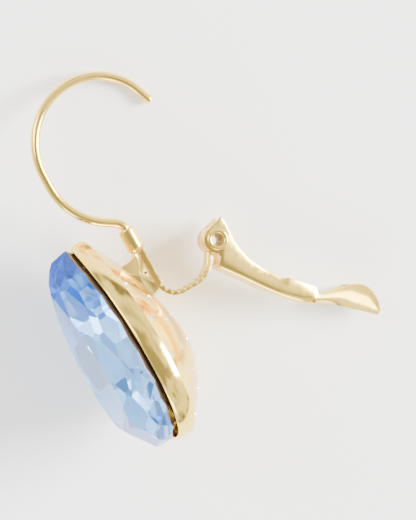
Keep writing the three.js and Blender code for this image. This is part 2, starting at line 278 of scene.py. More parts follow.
def spread(table, step):
    """Rows of numbers with smooth rows added between them, about one step of the first column apart."""
    rows = []
    for i in range(len(table) - 1):
        before, after = table[max(0, i - 1)], table[min(len(table) - 1, i + 2)]
        a, b = table[i], table[i + 1]
        count = max(1, round((b[0] - a[0]) / step))
        for k in range(count):
            t = k / count
            row = [a[0] + (b[0] - a[0]) * t]
            for c in range(1, len(a)):
                span = b[0] - a[0]
                lead = (b[c] - before[c]) / (b[0] - before[0]) * span
                trail = (after[c] - a[c]) / (after[0] - a[0]) * span
                t2, t3 = t * t, t * t * t
                row.append(
                    (2 * t3 - 3 * t2 + 1) * a[c] + (t3 - 2 * t2 + t) * lead
                    + (3 * t2 - 2 * t3) * b[c] + (t3 - t2) * trail
                )
            rows.append(row)
    rows.append(list(table[-1]))
    return rows


def route(x, z, heading, steps, piece_turn, piece_length):
    """Points of a route in the XZ plane made of straights and (radius, turn) arcs, cut into short pieces."""
    points = [Vector((x, 0, z))]
    angle = math.radians(heading)

    def go(length):
        points.append(points[-1] + Vector((math.cos(angle), 0, math.sin(angle))) * length)

    for step in steps:
        if isinstance(step, (int, float)):
            count = max(1, round(step / piece_length))
            for _ in range(count):
                go(step / count)
            continue
        radius, turn = step
        count = max(2, round(abs(turn) / piece_turn))
        part = math.radians(turn) / count
        for _ in range(count):
            angle += part / 2
            go(2 * radius * math.sin(abs(part) / 2))
            angle += part / 2
    return points


def on_cubic(a, b, c, d, t):
    """The point of a cubic curve at t, from a at 0 to d at 1."""
    u = 1 - t
    return a * u**3 + b * (3 * u * u * t) + c * (3 * u * t * t) + d * t**3


def cubic(a, b, c, d, count):
    """Points after the first on a cubic curve."""
    a, b, c, d = (Vector(p) for p in (a, b, c, d))
    return [tuple(on_cubic(a, b, c, d, k / count)) for k in range(1, count + 1)]


def stations(points):
    """For each point of a route: the point, its direction, and the one square to it in the XZ plane."""
    result = []
    for i, p in enumerate(points):
        along = (points[min(len(points) - 1, i + 1)] - points[max(0, i - 1)]).normalized()
        result.append((p, along, Vector((along.z, 0, -along.x))))
    return result


# ---------------------------------------------------------------- the teardrop outline


def pear_half(inset):
    """Half of the outline as (distance, point, direction) rows, from the top to the bottom."""
    tip = math.radians(PEAR["tip_angle"])
    half = PEAR["width"] / 2 - inset
    top = -inset / math.sin(tip)
    bottom = inset - PEAR["length"]
    widest = -PEAR["widest"]
    flank, shoulder = 6.4, 4.2
    # A cubic curve draws a quarter of an ellipse with its handles this share of the radius long.
    quarter = 0.5523
    flank_end = (flank * math.sin(tip), top - flank * math.cos(tip))
    side = (half, widest + (bottom - widest) * quarter)
    curves = (
        ((0, top), flank_end, (half, widest + shoulder), (half, widest)),
        ((half, widest), side, (half * quarter, bottom), (0, bottom)),
    )
    steps = 160
    rows, walked, last = [], 0.0, None
    for a, b, c, d in curves:
        a, b, c, d = Vector(a), Vector(b), Vector(c), Vector(d)
        for k in range(steps + 1):
            t = k / steps
            u = 1 - t
            p = on_cubic(a, b, c, d, t)
            along = (b - a) * (3 * u * u) + (c - b) * (6 * u * t) + (d - c) * (3 * t * t)
            if last is not None:
                walked += (p - last).length
            rows.append((walked, p, along.normalized()))
            last = p
    return rows


def at_share(rows, share):
    """The point and direction a share of the way along the half outline."""
    target = share * rows[-1][0]
    for i in range(1, len(rows)):
        if rows[i][0] >= target and rows[i][0] > rows[i - 1][0]:
            t = (target - rows[i - 1][0]) / (rows[i][0] - rows[i - 1][0])
            return rows[i - 1][1].lerp(rows[i][1], t), rows[i - 1][2].lerp(rows[i][2], t).normalized()
    return rows[-1][1], rows[-1][2]


def pear_outline(inset, count=144):
    """The whole outline as points (y, z), starting at the top."""
    rows = pear_half(inset)
    right = [at_share(rows, 2 * i / count)[0] for i in range(count // 2 + 1)]
    left = [Vector((-p.x, p.y)) for p in reversed(right[1:-1])]
    return [Vector((-p.x, p.y)) for p in right + left]


def pear_ring(x, inset):
    """The outline as a ring of points at one depth."""
    return [Vector((x, p.x, p.y)) for p in pear_outline(inset)]


def band_depth(y):
    """How deep the band is, which grows from the middle line to the sides."""
    return BAND["middle"] + (BAND["sides"] - BAND["middle"]) * min(1.0, 2 * abs(y) / PEAR["width"]) ** 1.5


def dome_depth(k, y):
    """How deep the dome is at a share k of the way out to a point of the outline, y from the middle."""
    return band_depth(y) + (DOME_DEPTH - band_depth(y)) * (1 - k**1.8)


def on_dome(edge, k, forward=0.0):
    """The point of the dome on the way from its middle, k = 0, to a point of the outline, k = 1."""
    widest = PEAR["widest"]
    return Vector((forward - dome_depth(k, edge.x), edge.x * k, (edge.y + widest) * k - widest))


def band_ring(t):
    """A ring of the band, which bulges between the rim, t = 0, and the edge of the dome, t = 1."""
    inset = BAND["bulge"] * (2 * t - 1) ** 2
    return [Vector((-t * band_depth(p.x), p.x, p.y)) for p in pear_outline(inset)]


def dome_ring(k, inset, forward=0.0):
    """The dome's ring of points at a share k, or that of a wall laid against it, further forward."""
    return [on_dome(p, k, forward) for p in pear_outline(inset)]


# ---------------------------------------------------------------- materials


def polish_group():
    """Cloudy hand-polish: a mask of soft blotches, fine wiping lines, and a height for both."""
    tree = bpy.data.node_groups.new("Hand polish", "ShaderNodeTree")
    for name in ("Blotch scale", "Line scale"):
        tree.interface.new_socket(name, in_out="INPUT", socket_type="NodeSocketFloat")
    for name in ("Blotches", "Lines", "Height"):
        tree.interface.new_socket(name, in_out="OUTPUT", socket_type="NodeSocketFloat")
    nodes, links = tree.nodes, tree.links
    source = nodes.new("NodeGroupInput")
    result = nodes.new("NodeGroupOutput")
    place = nodes.new("ShaderNodeTexCoord")
    blotch = nodes.new("ShaderNodeTexNoise")
    blotch.inputs["Detail"].default_value = 3
    line = nodes.new("ShaderNodeTexNoise")
    line.inputs["Detail"].default_value = 2
    stretch = nodes.new("ShaderNodeMapping")
    stretch.inputs["Scale"].default_value = (1.0, 1.0, 0.12)
    mix = nodes.new("ShaderNodeMath")
    mix.operation = "MULTIPLY_ADD"
    mix.inputs[1].default_value = 0.25
    links.new(place.outputs["Object"], blotch.inputs["Vector"])
    links.new(place.outputs["Object"], stretch.inputs["Vector"])
    links.new(stretch.outputs["Vector"], line.inputs["Vector"])
    links.new(source.outputs["Blotch scale"], blotch.inputs["Scale"])
    links.new(source.outputs["Line scale"], line.inputs["Scale"])
    links.new(line.outputs["Fac"], mix.inputs[0])
    links.new(blotch.outputs["Fac"], mix.inputs[2])
    links.new(blotch.outputs["Fac"], result.inputs["Blotches"])
    links.new(line.outputs["Fac"], result.inputs["Lines"])
    links.new(mix.outputs[0], result.inputs["Height"])
    return tree


def new_material(name):
    """A material with its nodes, its links and its shader."""
    material = bpy.data.materials.new(name)
    material.use_nodes = True
    tree = material.node_tree
    return material, tree.nodes, tree.links, tree.nodes["Principled BSDF"]


def mixed_colour(nodes, links, mask, low, high):
    """A colour between two, by a mask whose middle half is spread over the whole range."""
    ramp = nodes.new("ShaderNodeValToRGB")
    ramp.color_ramp.elements[0].position = 0.25
    ramp.color_ramp.elements[1].position = 0.75
    ramp.color_ramp.elements[0].color = (*low, 1)
    ramp.color_ramp.elements[1].color = (*high, 1)
    links.new(mask, ramp.inputs["Fac"])
    return ramp.outputs["Color"]


def mixed_value(nodes, links, mask, low, high):
    """A value between two, by a mask whose middle part is spread over the whole range."""
    span = nodes.new("ShaderNodeMapRange")
    span.inputs["From Min"].default_value = 0.3
    span.inputs["From Max"].default_value = 0.7
    span.inputs["To Min"].default_value = low
    span.inputs["To Max"].default_value = high
    links.new(mask, span.inputs["Value"])
    return span.outputs["Result"]


def bumped(nodes, links, height, shader, strength, distance):
    """Small relief on a shader's surface."""
    bump = nodes.new("ShaderNodeBump")
    bump.inputs["Strength"].default_value = strength
    bump.inputs["Distance"].default_value = distance
    links.new(height, bump.inputs["Height"])
    links.new(bump.outputs["Normal"], shader.inputs["Normal"])


def polish_node(nodes, blotch, line):
    """The hand polish placed in a material, with its own scales."""
    polish = nodes.new("ShaderNodeGroup")
    polish.node_tree = bpy.data.node_groups.get("Hand polish") or polish_group()
    polish.inputs["Blotch scale"].default_value = blotch
    polish.inputs["Line scale"].default_value = line
    return polish


def gilt(name, roughness_scale=1.0, shade=1.0, whiter=0.0):
    """Polished gold plate, pale, with a little warmer cloudiness and soft wiping lines. It is made once."""
    found = bpy.data.materials.get(name)
    if found:
        return found
    chosen = bpy.context.scene.earring_metal
    material, nodes, links, shader = new_material(name)
    polish = polish_node(nodes, 260, 2400)
    base = [c * shade * (1 - whiter) + whiter for c in chosen.gilding]
    warm = (base[0] * 0.97, base[1] * 0.95, base[2] * 0.86)
    pale = (min(1, base[0] * 1.03), min(1, base[1] * 1.03), min(1, base[2] * 1.14))
    colour = mixed_colour(nodes, links, polish.outputs["Blotches"], warm, pale)
    links.new(colour, shader.inputs["Base Color"])
    rough = chosen.polish * roughness_scale
    roughness = mixed_value(nodes, links, polish.outputs["Lines"], rough * 0.8, rough * 1.3)
    links.new(roughness, shader.inputs["Roughness"])
    shader.inputs["Metallic"].default_value = 1.0
    bumped(nodes, links, polish.outputs["Height"], shader, 0.12, 0.00006)
    return material


def gilt_painted_shade():
    """Painted shade for creases, bores, notch floors and the inside of the lever: plate made a matte, darker
    ochre.
    """
    material = gilt("Gilt painted shade", 3.8, 0.55)
    shader = material.node_tree.nodes["Principled BSDF"]
    shader.inputs["Metallic"].default_value = 0.0
    shader.inputs["Specular IOR Level"].default_value = 0.15
    return material


def gilt_pierced_highlight():
    """The bright, rough gold lining the holes: partly the pale bare metal a drill leaves at the lip, partly
    painted highlight on the pin holes.
    """
    return gilt("Gilt pierced highlight", 3.0, 1.0, 0.8)


def clear_crystal(name, depth):
    """Clear tinted crystal, a little cloudy in colour. A depth over 1 makes it bluer, with a blue coat, a
    copy used as painted shade.
    """
    chosen = bpy.context.scene.earring_crystal
    material, nodes, links, shader = new_material(name)
    polish = polish_node(nodes, 180, 900)
    tint = tuple(c**depth for c in chosen.tint)
    paler = tuple(min(1, c * 0.85 + 0.15) for c in tint)
    colour = mixed_colour(nodes, links, polish.outputs["Blotches"], tint, paler)
    links.new(colour, shader.inputs["Base Color"])
    shader.inputs["Roughness"].default_value = 0.0
    shader.inputs["IOR"].default_value = chosen.index
    shader.inputs["Transmission Weight"].default_value = 1.0
    if depth > 1:
        shader.inputs["Coat Weight"].default_value = 1.0
        shader.inputs["Coat IOR"].default_value = 1.0
        shader.inputs["Coat Tint"].default_value = (*(c**0.8 for c in chosen.tint), 1)
    return material


def crystal_foil(name, depth):
    """The back facets: bright mirror foil seen through the crystal, dull brown lacquer on the outside.

    The lacquer is kept near black as painted shade in the groove between stone and rim. The foil's inner
    side gives off a little light, painted light for what a cut stone gathers inside. A depth over 1 makes it
    bluer and darker, a copy used as painted shade.
    """
    chosen = bpy.context.scene.earring_crystal
    material, nodes, links, shader = new_material(name)
    polish = polish_node(nodes, 320, 1500)
    foil = tuple(c**depth for c in chosen.foil)
    deeper = (foil[0] * 0.5, foil[1] * 0.72, foil[2] * 0.92)
    inside = mixed_colour(nodes, links, polish.outputs["Blotches"], deeper, foil)
    facing = nodes.new("ShaderNodeNewGeometry")
    lacquer = nodes.new("ShaderNodeMix")
    lacquer.data_type = "RGBA"
    # The outside of the back facets is the stone's brown lacquer, kept near black as painted shade in the
    # groove between stone and rim.
    lacquer.inputs["A"].default_value = (0.05, 0.032, 0.02, 1)
    links.new(facing.outputs["Backfacing"], lacquer.inputs["Factor"])
    links.new(inside, lacquer.inputs["B"])
    links.new(lacquer.outputs["Result"], shader.inputs["Base Color"])
    links.new(facing.outputs["Backfacing"], shader.inputs["Metallic"])
    # Painted light: the inner side of the foil gives off a little light.
    painted_glow = nodes.new("ShaderNodeMix")
    painted_glow.data_type = "RGBA"
    painted_glow.inputs["A"].default_value = (0, 0, 0, 1)
    painted_glow.inputs["B"].default_value = (*(c ** (0.65 + 0.35 * depth) for c in chosen.painted_glow), 1)
    links.new(facing.outputs["Backfacing"], painted_glow.inputs["Factor"])
    links.new(painted_glow.outputs["Result"], shader.inputs["Emission Color"])
    shader.inputs["Emission Strength"].default_value = 0.46 / depth**0.7
    shader.inputs["Roughness"].default_value = 0.1 / depth
    return material


def floor_surface():
    """Smooth pale card with a barely visible tooth."""
    chosen = bpy.context.scene.earring_stage
    material, nodes, links, shader = new_material("Pale card")
    polish = polish_node(nodes, 30, 700)
    base = tuple(chosen.floor)
    darker = tuple(c * 0.975 for c in base)
    colour = mixed_colour(nodes, links, polish.outputs["Blotches"], darker, base)
    links.new(colour, shader.inputs["Base Color"])
    links.new(mixed_value(nodes, links, polish.outputs["Lines"], 0.5, 0.65), shader.inputs["Roughness"])
    bumped(nodes, links, polish.outputs["Height"], shader, 0.05, 0.0001)
    return material


# ---------------------------------------------------------------- the stone

# Where the facets stand, as shares of the way along half the outline, from the tip.
MAINS = (0.04, 0.25, 0.5, 0.72, 0.94)
BETWEEN = (0.14, 0.38, 0.62, 0.84)
BREAKS = (0.09, 0.2, 0.315, 0.44, 0.56, 0.67, 0.78, 0.89)
# Depths of the girdle, of the seat in the rim, of the table in front and of the point at the back.
GIRDLE, SEAT, TABLE, CULET = 1.9, 0.35, 3.5, -4.2
# How far the stone stands inside the rim, and how far it is moved towards the tip.
STONE_INSET, STONE_RISE = 0.25, 0.2
# Rows of flat facets: front or back, where along the half outline, the depth they meet it at, their slope.
FACET_ROWS = (
    (1, (0.04,), GIRDLE + 0.15, 38),
    (1, (0.25, 0.5, 0.72), GIRDLE, 37),
    (1, (0.94,), GIRDLE - 0.3, 37),
    (1, BETWEEN, GIRDLE + 0.1, 41),
    (1, BETWEEN, GIRDLE + 0.55, 25),
    (1, BREAKS, GIRDLE - 0.25, 52),
    (1, MAINS + BETWEEN, 0.6, 80),
    (-1, MAINS, SEAT, 38),
    (-1, BETWEEN, SEAT, 42),
    (-1, BREAKS, SEAT + 0.2, 50),
    (-1, (0.09, 0.315, 0.56, 0.78), SEAT - 1.0, 30),
)


def facet_kind(face):
    """Clear in front or foiled at the back, and a darker, bluer kind of each near the tip and the lower end
    as painted shade.
    """
    middle = face.calc_center_median()
    back = face.normal.x < -0.1
    near_tip = middle.z > -4.2
    lower_end = back and middle.x > -1.2 and middle.z < -14.5
    return 2 * back + (near_tip or lower_end)


def cut_stone():
    """A prism of the teardrop outline cut down by flat facets, as a stone is."""
    rings = [[Vector((x, p.x, p.y)) for p in pear_outline(STONE_INSET, 32)] for x in (CULET, TABLE)]
    mesh = loft("crystal_stone", rings)
    half = pear_half(STONE_INSET)
    stone = bmesh.new()
    stone.from_mesh(mesh)
    for front, shares, x, slope in FACET_ROWS:
        for share in shares:
            at, along = at_share(half, share)
            for side in (1, -1):
                outward = Vector((0, -along.y * side, along.x))
                slant = math.radians(slope)
                normal = Vector((front * math.cos(slant), 0, 0)) + outward * math.sin(slant)
                point = Vector((x, at.x * side, at.y))
                cut = bmesh.ops.bisect_plane(
                    stone, geom=list(stone.verts) + list(stone.edges) + list(stone.faces), plane_co=point,
                    plane_no=normal, clear_outer=True, dist=1e-5,
                )
                edges = [e for e in cut["geom_cut"] if isinstance(e, bmesh.types.BMEdge) and e.is_valid]
                if len(edges) > 2:
                    bmesh.ops.contextual_create(stone, geom=edges)
    bmesh.ops.remove_doubles(stone, verts=stone.verts, dist=0.02)
    hull = bmesh.new()
    for corner in stone.verts:
        hull.verts.new(corner.co + Vector((0, 0, STONE_RISE)))
    stone.free()
    made = bmesh.ops.convex_hull(hull, input=list(hull.verts))
    bmesh.ops.delete(hull, geom=[v for v in made["geom_interior"] if v.is_valid], context="VERTS")
    flat = math.radians(1.5)
    bmesh.ops.dissolve_limit(hull, angle_limit=flat, verts=list(hull.verts), edges=list(hull.edges))
    bmesh.ops.recalc_face_normals(hull, faces=hull.faces)
    bmesh.ops.bevel(
        hull, geom=list(hull.edges), offset=0.018, segments=1, affect="EDGES", clamp_overlap=True,
    )
    for face in hull.faces:
        face.material_index = facet_kind(face)
        face.smooth = False
    hull.to_mesh(mesh)
    hull.free()
    return mesh


class EARRING_OT_stone(bpy.types.Operator):
    """Cut the crystal and foil its back facets"""

    bl_idname = "earring.stone"
    bl_label = "Build the stone"

    def execute(self, context):
        new_piece(
            "crystal_stone", cut_stone(), "earring", "stone",
            [
                clear_crystal("Crystal", 1.0), clear_crystal("Crystal deep", 3.2),
                crystal_foil("Crystal foil", 1.0), crystal_foil("Crystal foil deep", 3.0),
            ],
            sharp=None,
        )
        return {"FINISHED"}


# ---------------------------------------------------------------- the setting

# Rings of pin holes: the share of the outline that they stand on, and every how many of the places round it.
PIN_RINGS = ((0.93, 1), (0.66, 1), (0.33, 2))
PIN_PLACES = 12


def place_at(points, angle):
    """The number of the outline's point that lies most nearly at an angle, seen from its widest place."""

    def off(number):
        point = points[number]
        return abs(math.remainder(math.atan2(point.y + PEAR["widest"], point.x) - angle, 2 * math.pi))

    return min(range(len(points)), key=off)


def pin_holes(radius):
    """The shapes of the dome's pin holes, square to it and wide at the mouth. Under the bracket is none."""
    narrow, mouth, deep, high = radius * 0.7, radius * 1.5, 1.2, 0.3
    drill = [(0, -deep), (narrow, -deep), (narrow, -0.2), (mouth, 0.02), (mouth, high), (0, high)]
    holes = bmesh.new()
    edges = pear_outline(DOME_STEP, 240)
    for share, every in PIN_RINGS:
        for number in range(0, PIN_PLACES, every):
            angle = 2 * math.pi * number / PIN_PLACES
            if share > 0.5 and abs(angle - math.pi / 2) < 0.1:
                continue
            place = place_at(edges, angle)
            edge = edges[place]
            across = on_dome(edges[(place + 2) % len(edges)], share) - on_dome(edges[place - 2], share)
            outward = across.cross(on_dome(edge, share + 0.02) - on_dome(edge, share - 0.02)).normalized()
            if outward.x > 0:
                outward.negate()
            hole = lathe("hole", drill, 20)
            turned = outward.to_track_quat("Z", "Y").to_matrix().to_4x4()
            hole.transform(Matrix.Translation(on_dome(edge, share)) @ turned)
            holes.from_mesh(hole)
            bpy.data.meshes.remove(hole)
    # Partly painted highlight: all the holes' faces take the near-white lining.
    for face in holes.faces:
        face.material_index = 1
    cutter = bpy.data.meshes.new("holes")
    holes.to_mesh(cutter)
    holes.free()
    return cutter


def pierced_cup():
    """The domed teardrop cup with its rolled rim, painted shade along its crease, and its rings of pin
    holes.
    """
    wall, ledge, ledge_width, crease_shade_reach = 0.45, 1.2, 0.5, 0.14
    outside = (0.04, 0.1, 0.18, 0.27, 0.36, 0.45, 0.54, 0.63, 0.71, 0.79, 0.86, 0.92, 0.965, 1.0)
    inner = wall + ledge_width
    rings = [dome_ring(k, DOME_STEP) for k in outside]
    rings += [band_ring(t) for t in (1.0, 0.96, 0.88, 0.75, 0.62, 0.5, 0.38, 0.25, 0.13, 0.05)]
    rings += [pear_ring(-0.02, 0.19), pear_ring(0, 0.24), pear_ring(0, wall - 0.1)]
    rings += [pear_ring(-0.03, wall - 0.03), pear_ring(-0.1, wall), pear_ring(-ledge, wall)]
    rings.append(pear_ring(-ledge, inner))
    rings += [dome_ring(k, inner, wall) for k in (0.95, 0.86, 0.74, 0.6, 0.45, 0.3, 0.15, 0.05)]
    cup = loft("pierced_cup", rings)
    edge = dome_ring(1.0, DOME_STEP)
    crease = KDTree(len(edge))
    for i, point in enumerate(edge):
        crease.insert(point, i)
    crease.balance()
    # Painted shade: a strip of the dome along its crease with the band takes the dull ochre.
    for face in cup.polygons:
        face.material_index = 2 if crease.find(face.center)[2] < crease_shade_reach else 0
    return combine(cup, pin_holes(bpy.context.scene.earring_parts.pin_hole), "DIFFERENCE")


def bracket_plate():
    """The shield-shaped plate between the sleeve and the cup, with pressed side panels and a pin hole."""
    thickness, border, pressed, crown = 1.1, 0.26, 0.08, 0.2
    outline = [(-4.72, -3.2)]
    outline += cubic((-4.72, -3.2), (-4.57, -3.57), (-4.1, -3.73), (-3.3, -3.72), 8)
    outline += [(-2.5, -3.85), (-3.6, -7.3), (-4.5, -7.25), (-5.4, -6.9), (-5.4, -4.2)]
    outline += cubic((-5.4, -4.2), (-5.47, -3.87), (-5.53, -3.53), (-5.6, -3.2), 5)
    shield = plate("bracket_plate", outline, thickness)
    panel = bmesh.new()
    panel.from_mesh(shield)
    sides = [face for face in panel.faces if abs(face.normal.y) > 0.9]
    bmesh.ops.inset_region(panel, faces=sides, thickness=border, depth=0.0)
    for face in sides:
        bmesh.ops.translate(panel, verts=face.verts, vec=face.normal * -pressed)
    bmesh.ops.poke(panel, faces=sides, offset=crown)
    panel.to_mesh(shield)
    panel.free()
    shield = softened(shield, 0.07, 35)
    drill = cross_pin(0.17, 3, -4.75, -5.2, 24)
    # Painted shade: the pin hole's bore takes the dull ochre.
    for face in drill.polygons:
        face.material_index = 1
    shield = combine(shield, drill, "DIFFERENCE")
    # Its foot is cut off inside the cup's wall, so that none of it shows through the stone.
    inside = [dome_ring(k, DOME_STEP, 0.2) for k in (0.04, 0.18, 0.36, 0.54, 0.71, 0.86, 0.97)]
    inside.append(pear_ring(0.5, 0.4))
    return combine(shield, loft("cup_inside", inside), "DIFFERENCE")


def wire_sleeve():
    """The tube that the ear wire is pressed into, rounded over at its lower end."""
    radius, bore, floor = 0.78, 0.46, -2.65
    profile = [(0, -3.4), (0.2, -3.39), (0.42, -3.34), (0.58, -3.24), (0.7, -3.1), (0.76, -2.95)]
    profile += [(radius, -2.8), (radius, -1.18), (0.77, -1.1), (0.72, -1.06), (0.66, -1.05), (0.5, -1.05)]
    profile += [(bore, -1.09), (bore, floor), (0, floor)]
    mesh = lathe("wire_sleeve", profile)
    mesh.transform(Matrix.Translation((-SLEEVE_BACK, 0, 0)))
    return mesh


def notched_strap():
    """The curved strap down to the hinge. The floors of the notches filed across its inner face take painted
    shade.
    """
    depth = bpy.context.scene.earring_parts.notch
    start, end, pitch, fade_length = 2.9, 8.4, 0.62, 0.4
    points = route(-5.4, -3.4, 270, (3.2, (1.6, -90), 1.15, (2.6, -60), 0.55), 1.0, 0.06)
    walked, rings, floors = 0.0, [], []
    half, thick = 0.75, 0.25
    for i, (p, _, up) in enumerate(stations(points)):
        if i:
            walked += (points[i] - points[i - 1]).length
        fade = min(1.0, max(0.0, (walked - start) / fade_length))
        fade *= min(1.0, max(0.0, (end - walked) / fade_length))
        cut = fade * (0.5 - 0.5 * math.cos(2 * math.pi * walked / pitch)) ** 2
        high = thick - depth * cut
        edge = 0.09 + 0.1 * cut
        right = [(half - edge, high), (half - 0.03, high - 0.03), (half, high - edge)]
        right += [(half, -thick + edge), (half - 0.02, -thick + edge * 0.4), (half - edge, -thick)]
        outline = [(-y, h) for y, h in reversed(right)] + right
        rings.append([p + up * h + Vector((0, y, 0)) for y, h in outline])
        if cut > 0.55:
            floors.append(p + up * high)
    mesh = loft("notched_strap", rings)
    # Painted shade: faces near the notch floors take the dull ochre.
    for face in mesh.polygons:
        place = Vector((face.center.x, 0, face.center.z))
        face.material_index = int(min((place - spot).length for spot in floors) < 0.12)
    return mesh


def hinge_knuckle():
    """The eye at the strap's end that the rivet passes through."""
    outer, inner, half, edge, chamfer = 1.22, 0.74, 0.95, 0.1, 0.03
    upper = [(outer, half - edge), (outer - chamfer, half - chamfer), (outer - edge, half)]
    upper += [(inner + chamfer, half), (inner, half - chamfer)]
    profile = [(r, -z) for r, z in reversed(upper)] + upper
    mesh = lathe("hinge_knuckle", profile)
    mesh.transform(Matrix.Translation(HINGE) @ Matrix.Rotation(math.pi / 2, 4, "X"))
    return mesh


class EARRING_OT_setting(bpy.types.Operator):
    """Build the pierced cup, bracket, sleeve, strap and hinge eye that are soldered into one setting"""

    bl_idname = "earring.setting"
    bl_label = "Build the setting"

    def execute(self, context):
        # dull is the painted shade for the crease, the bores and the notch floors; pierced is the
        # near-white, partly painted highlight lining the pin holes.
        smooth, pierced, dull, filed = gilt("Gilt"), gilt_pierced_highlight(), gilt_painted_shade(), gilt("Gilt filed", 1.3)
        for name, shape, metals, sharp in (
            ("pierced_cup", pierced_cup, [smooth, pierced, dull], 38),
            ("bracket_plate", bracket_plate, [smooth, dull], 40),
            ("wire_sleeve", wire_sleeve, [smooth], 50),
            ("notched_strap", notched_strap, [filed, dull], 24),
            ("hinge_knuckle", hinge_knuckle, [smooth], 50),
        ):
            new_piece(name, shape(), "earring", "setting", metals, sharp)
        return {"FINISHED"}


# ---------------------------------------------------------------- the ear wire and the rivet


def bent_wire(radius):
    """The round wire from its foot in the sleeve over the loop to its cut end, both ends rounded off."""
    steps = (1.45, (1.0, -57), 1.1, (6.0, 57), 1.1, (5.95, 92), (5.5, 68), 1.3)
    line = stations(route(-SLEEVE_BACK, -2.5, 90, steps, 3.0, 0.35))
    (foot, foot_way, foot_out), (tip, tip_way, tip_out) = line[0], line[-1]
    ends = ((0.0, 0.8), (0.02, 0.93), (0.07, 1.0))
    rings = [(foot + foot_way * inward, foot_out, size) for inward, size in ends]
    rings += [(p, out, 1.0) for p, _, out in line[1:-1]]
    rings += [(tip - tip_way * inward, tip_out, size) for inward, size in reversed(ends)]
    side = Vector((0, 1, 0))
    turns = [2 * math.pi * k / 36 for k in range(36)]
    skin = []
    for p, out, size in rings:
        skin.append([p + (side * math.sin(turn) + out * math.cos(turn)) * radius * size for turn in turns])
    return loft("ear_wire", skin)


class EARRING_OT_ear_wire(bpy.types.Operator):
    """Bend the round ear wire along its route"""

    bl_idname = "earring.ear_wire"
    bl_label = "Build the ear wire"

    def execute(self, context):
        wire = bent_wire(bpy.context.scene.earring_parts.wire / 2)
        new_piece("ear_wire", wire, "earring", "ear_hook", [gilt("Gilt wire", 0.9)], 50)
        return {"FINISHED"}


def hinge_tube():
    """The tube rivet with its two rolled ends, with painted shade in its bore."""
    reach, end, shank, bore, flare = 1.48, 1.68, 0.68, 0.54, 0.94
    half = [(bore, end - 0.12), (bore + 0.03, end - 0.05), (bore + 0.1, end), (flare - 0.12, end)]
    half += [(flare - 0.03, end - 0.04), (flare, end - 0.1), (flare, reach), (shank, reach)]
    mesh = lathe("hinge_tube", half + [(r, -z) for r, z in reversed(half)])
    mesh.transform(Matrix.Translation(HINGE) @ Matrix.Rotation(math.pi / 2, 4, "X"))
    # Painted shade: the bore takes the dull ochre.
    for face in mesh.polygons:
        off = Vector((face.center.x, face.center.z)) - Vector((HINGE.x, HINGE.z))
        face.material_index = 1 if off.length < bore + 0.005 else 0
    return mesh


class EARRING_OT_hinge_tube(bpy.types.Operator):
    """Turn the tube rivet with its two rolled ends"""

    bl_idname = "earring.hinge_tube"
    bl_label = "Build the hinge rivet"

    def execute(self, context):
        metals = [gilt("Gilt"), gilt_painted_shade()]
        new_piece("hinge_tube", hinge_tube(), "earring", "hinge_rivet", metals, 45)
        return {"FINISHED"}


# ---------------------------------------------------------------- the lever

# The lever is shaped along X from its hinge, then turned open.
# The channel at stations along it: how far its back stands from the rivet, and its width.
CHANNEL = (
    (-1.6, 2.35, 2.84), (0.7, 2.38, 2.84), (3.0, 2.56, 2.8), (5.0, 2.76, 2.6), (7.0, 2.9, 2.4),
    (9.0, 2.82, 2.1), (10.4, 2.5, 1.7),
)
# The leaf at stations along it: the height of its spine and of its edges, and how far the edges reach.
LEAF = (
    (9.9, 2.5, 1.7, 0.75), (11.0, 2.12, 1.4, 0.85), (11.9, 1.95, 0.6, 1.35), (12.6, 1.86, 0.05, 1.65),
    (13.3, 1.79, -0.28, 1.75), (14.0, 1.73, -0.34, 1.72), (14.7, 1.66, -0.12, 1.5), (15.4, 1.59, 0.3, 1.1),
    (15.9, 1.53, 0.75, 0.7), (16.2, 1.47, 1.1, 0.35),
)


def strip(name, rings):
    """A closed skin over bent sheet. Half of each ring is its outer line and the rest its inner one."""
    count = len(rings[0])
    last = (len(rings) - 1) * count
    ends = []
    for i in range(count // 2 - 1):
        quad = (i, i + 1, count - 2 - i, count - 1 - i)
        ends.append(tuple(reversed(quad)))
        ends.append(tuple(last + q for q in quad))
    return mesh_of(name, [p for ring in rings for p in ring], walls_between(rings) + ends)


def lever_channel():
    """The channel of bent sheet, its side walls cut to their outline, round at the hinge."""
    wall, corner, top, eye = 0.33, 0.55, -2.6, 1.2
    rings = []
    for along, back, width in spread(CHANNEL, 0.5):
        lines = []
        for half, depth, bend in ((width / 2, back, corner), (width / 2 - wall, back - wall, corner - 0.2)):
            right = [(half, top)]
            for i in range(9):
                angle = i / 8 * math.pi / 2
                right.append((half - bend + bend * math.cos(angle), depth - bend + bend * math.sin(angle)))
            lines.append(right + [(-y, z) for y, z in reversed(right)])
        rings.append([Vector((along, y, z)) for y, z in lines[0] + lines[1][::-1]])
    channel = strip("clasp_lever", rings)
    side = [(-0.35, -2.0), (0.1, -1.7)]
    side += cubic((0.1, -1.7), (1.2, -0.7), (2.2, 1.25), (6.9, 1.3), 18)
    side += [(7.1, 1.12), (9.9, 1.08), (10.35, 1.7), (10.35, 3.6), (0.85, 3.6), (0.8, 1.35)]
    for i in range(25):
        angle = math.radians(70 + 145 * i / 24)
        side.append((eye * math.cos(angle), eye * math.sin(angle)))
    return combine(channel, plate("side", side, 6), "INTERSECT")


def lever_bridge():
    """The web between the side walls, where the channel runs into the leaf."""
    outline = [(7.1, 1.12), (9.9, 1.08), (10.3, 1.7), (10.3, 2.45), (9.95, 2.5), (9.75, 1.45), (7.1, 1.45)]
    return softened(plate("bridge", outline, 1.75), 0.05, 30)


